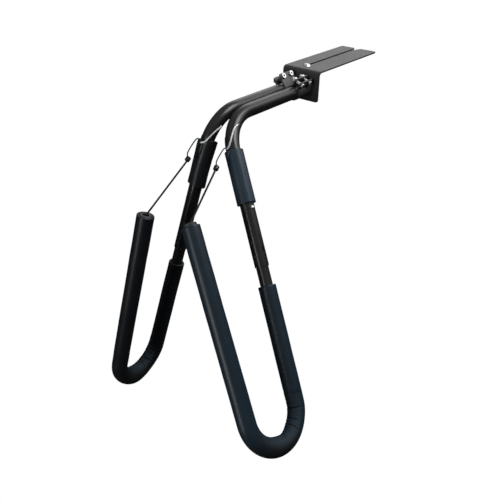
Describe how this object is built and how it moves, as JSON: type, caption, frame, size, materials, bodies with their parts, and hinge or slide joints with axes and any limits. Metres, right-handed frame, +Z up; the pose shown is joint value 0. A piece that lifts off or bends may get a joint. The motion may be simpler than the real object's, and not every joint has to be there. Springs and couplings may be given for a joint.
{
  "type": "moped surfboard rack",
  "caption": "Carrier bracket plate with clamped bent arms and telescoping foam-padded J hooks that hold a surfboard beside a moped, with elastic cords.",
  "frame": {"origin": "on the plate bolt's level, in the middle of the plate's width, at the underside of the plate's top, which rests on the carrier", "axes": "+Z up, +Y along the plate toward its open slot end, arms reach out along -Y, +X to the right when seen from the arms' side looking along +Y"},
  "size_m": [0.4247, 0.7514, 0.5753],
  "materials": {
    "plate_paint": "fine textured dark grey powder coat",
    "clamp_paint": "dark grey powder coat",
    "tube_paint": "satin black powder coat with a few chips",
    "hook_paint": "satin black powder coat",
    "bright_steel": "bright zinc plated steel",
    "wire_steel": "bright drawn steel wire",
    "spring_steel": "blued spring strip",
    "foam": "matt dark slate blue closed-cell foam",
    "strip_film": "dark blue plastic film",
    "cap_plastic": "dark slate moulded plastic",
    "bead_plastic": "black moulded plastic",
    "elastic": "black braided sleeve over elastic"
  },
  "bodies": {
    "bracket": {"mounting_plate": "plate_paint", "clamp_left": "clamp_paint", "clamp_right": "clamp_paint", "clamp_screws_left": "bright_steel", "clamp_screws_right": "bright_steel", "clamp_nuts_left": "bright_steel", "clamp_nuts_right": "bright_steel"},
    "carrier_bolt": {"plate_bolt": "bright_steel", "plate_washer": "bright_steel", "plate_nut": "bright_steel"},
    "arm_left": {"arm_tube_left": "tube_paint", "arm_pad_left": "foam", "wear_strip_left": "strip_film", "wire_hook_left": "wire_steel", "cord_bead_left": "bead_plastic"},
    "hook_left": {"hook_tube_left": "hook_paint", "hook_pad_left": "foam", "end_cap_left": "cap_plastic", "elastic_cord_left": "elastic", "cord_knot_left": "elastic", "button_spring_left": "spring_steel"},
    "button_left": {"snap_button_left": "bright_steel"},
    "arm_right": {"arm_tube_right": "tube_paint", "arm_pad_right": "foam", "wear_strip_right": "strip_film", "wire_hook_right": "wire_steel", "cord_bead_right": "bead_plastic"},
    "hook_right": {"hook_tube_right": "hook_paint", "hook_pad_right": "foam", "end_cap_right": "cap_plastic", "elastic_cord_right": "elastic", "cord_knot_right": "elastic", "button_spring_right": "spring_steel"},
    "button_right": {"snap_button_right": "bright_steel"}
  },
  "joints": [
    {"name": "carrier_bolt_slide", "type": "slide", "parent": "bracket", "child": "carrier_bolt", "axis": [0, 1, 0], "range_m": [0, 0.185]},
    {"name": "arm_left_swivel", "type": "hinge", "parent": "bracket", "child": "arm_left", "pos_m": [-0.0155, -0.029, -0.033], "axis": [0, 1, 0], "range_deg": [-3, 84]},
    {"name": "hook_left_slide", "type": "slide", "parent": "arm_left", "child": "hook_left", "axis": [-0.0997, -0.3007, -0.9485], "range_m": [0, 0.0762], "deforming": ["elastic_cord_left", "snap_button_left", "button_spring_left"]},
    {"name": "button_left_press", "type": "slide", "parent": "hook_left", "child": "button_left", "axis": [0.9945, 0, -0.1045], "range_m": [0, 0.0045], "stiffness_N_per_m": 1500, "springref_m": -0.002, "deforming": ["button_spring_left"]},
    {"name": "arm_right_swivel", "type": "hinge", "parent": "bracket", "child": "arm_right", "pos_m": [0.0155, -0.029, -0.033], "axis": [0, -1, 0], "range_deg": [-33.5, 53.5]},
    {"name": "hook_right_slide", "type": "slide", "parent": "arm_right", "child": "hook_right", "axis": [0.5673, -0.3007, -0.7667], "range_m": [0, 0.0762], "deforming": ["elastic_cord_right", "snap_button_right", "button_spring_right"]},
    {"name": "button_right_press", "type": "slide", "parent": "hook_right", "child": "button_right", "axis": [-0.8039, 0, -0.5948], "range_m": [0, 0.0045], "stiffness_N_per_m": 1500, "springref_m": -0.002, "deforming": ["button_spring_right"]}
  ]
}
